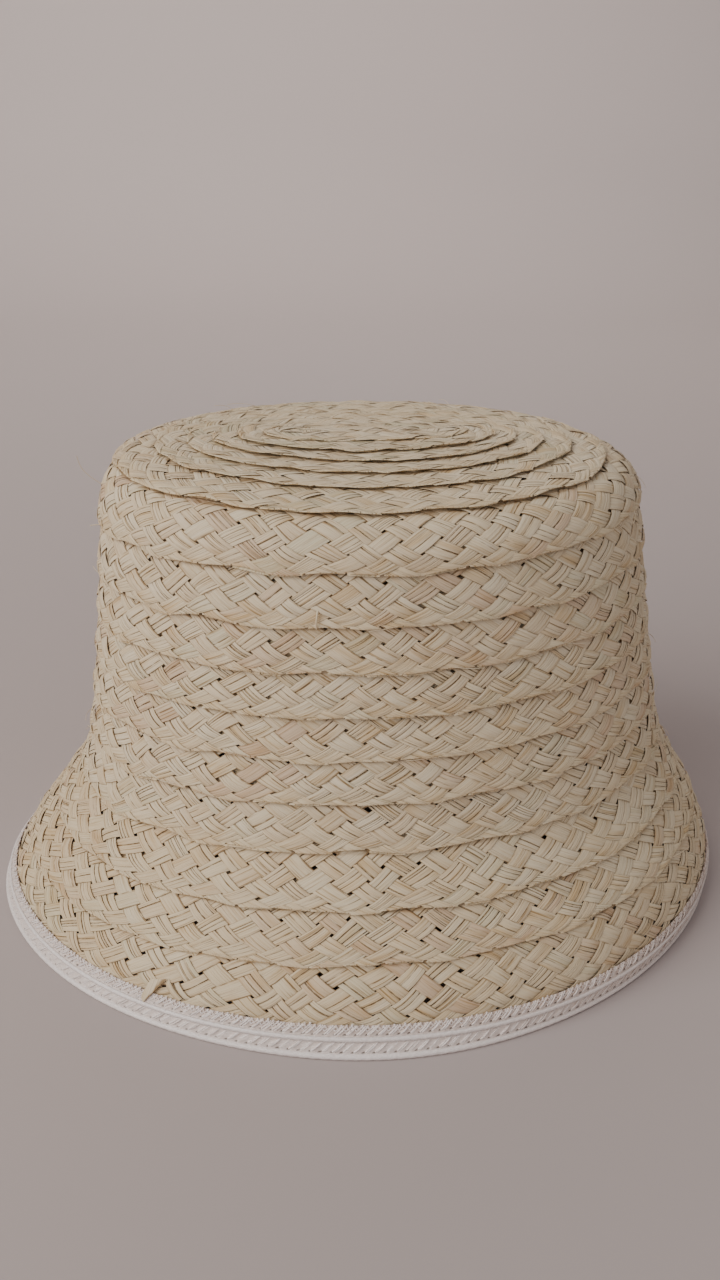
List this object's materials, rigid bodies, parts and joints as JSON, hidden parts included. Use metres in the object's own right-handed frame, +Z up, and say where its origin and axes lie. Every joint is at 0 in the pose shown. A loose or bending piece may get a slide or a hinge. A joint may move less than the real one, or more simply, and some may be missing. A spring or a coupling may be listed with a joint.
{
  "type": "straw hat",
  "caption": "Bell-shaped straw hat coiled from a flat plaited braid: oval flat tip, tapered crown, drooping flared brim and a glossy white braided edge. Worn on the head.",
  "frame": {"origin": "middle of the hat's footprint, on the surface it stands on", "axes": "+Z up through the crown, +X along the long way of the oval, to the right in the picture, and -Y to the front"},
  "size_m": [0.2605, 0.2182, 0.1604],
  "materials": {
    "straw": "matt natural plaited straw, cream with tan, pinkish and grey-green strips",
    "white_braid": "glossy, slightly translucent white synthetic braid"
  },
  "bodies": {
    "root": {"crown_tip": "straw", "crown_side": "straw", "brim": "straw", "edge_braid_upper": "white_braid", "edge_braid_lower": "white_braid"}
  },
  "joints": []
}
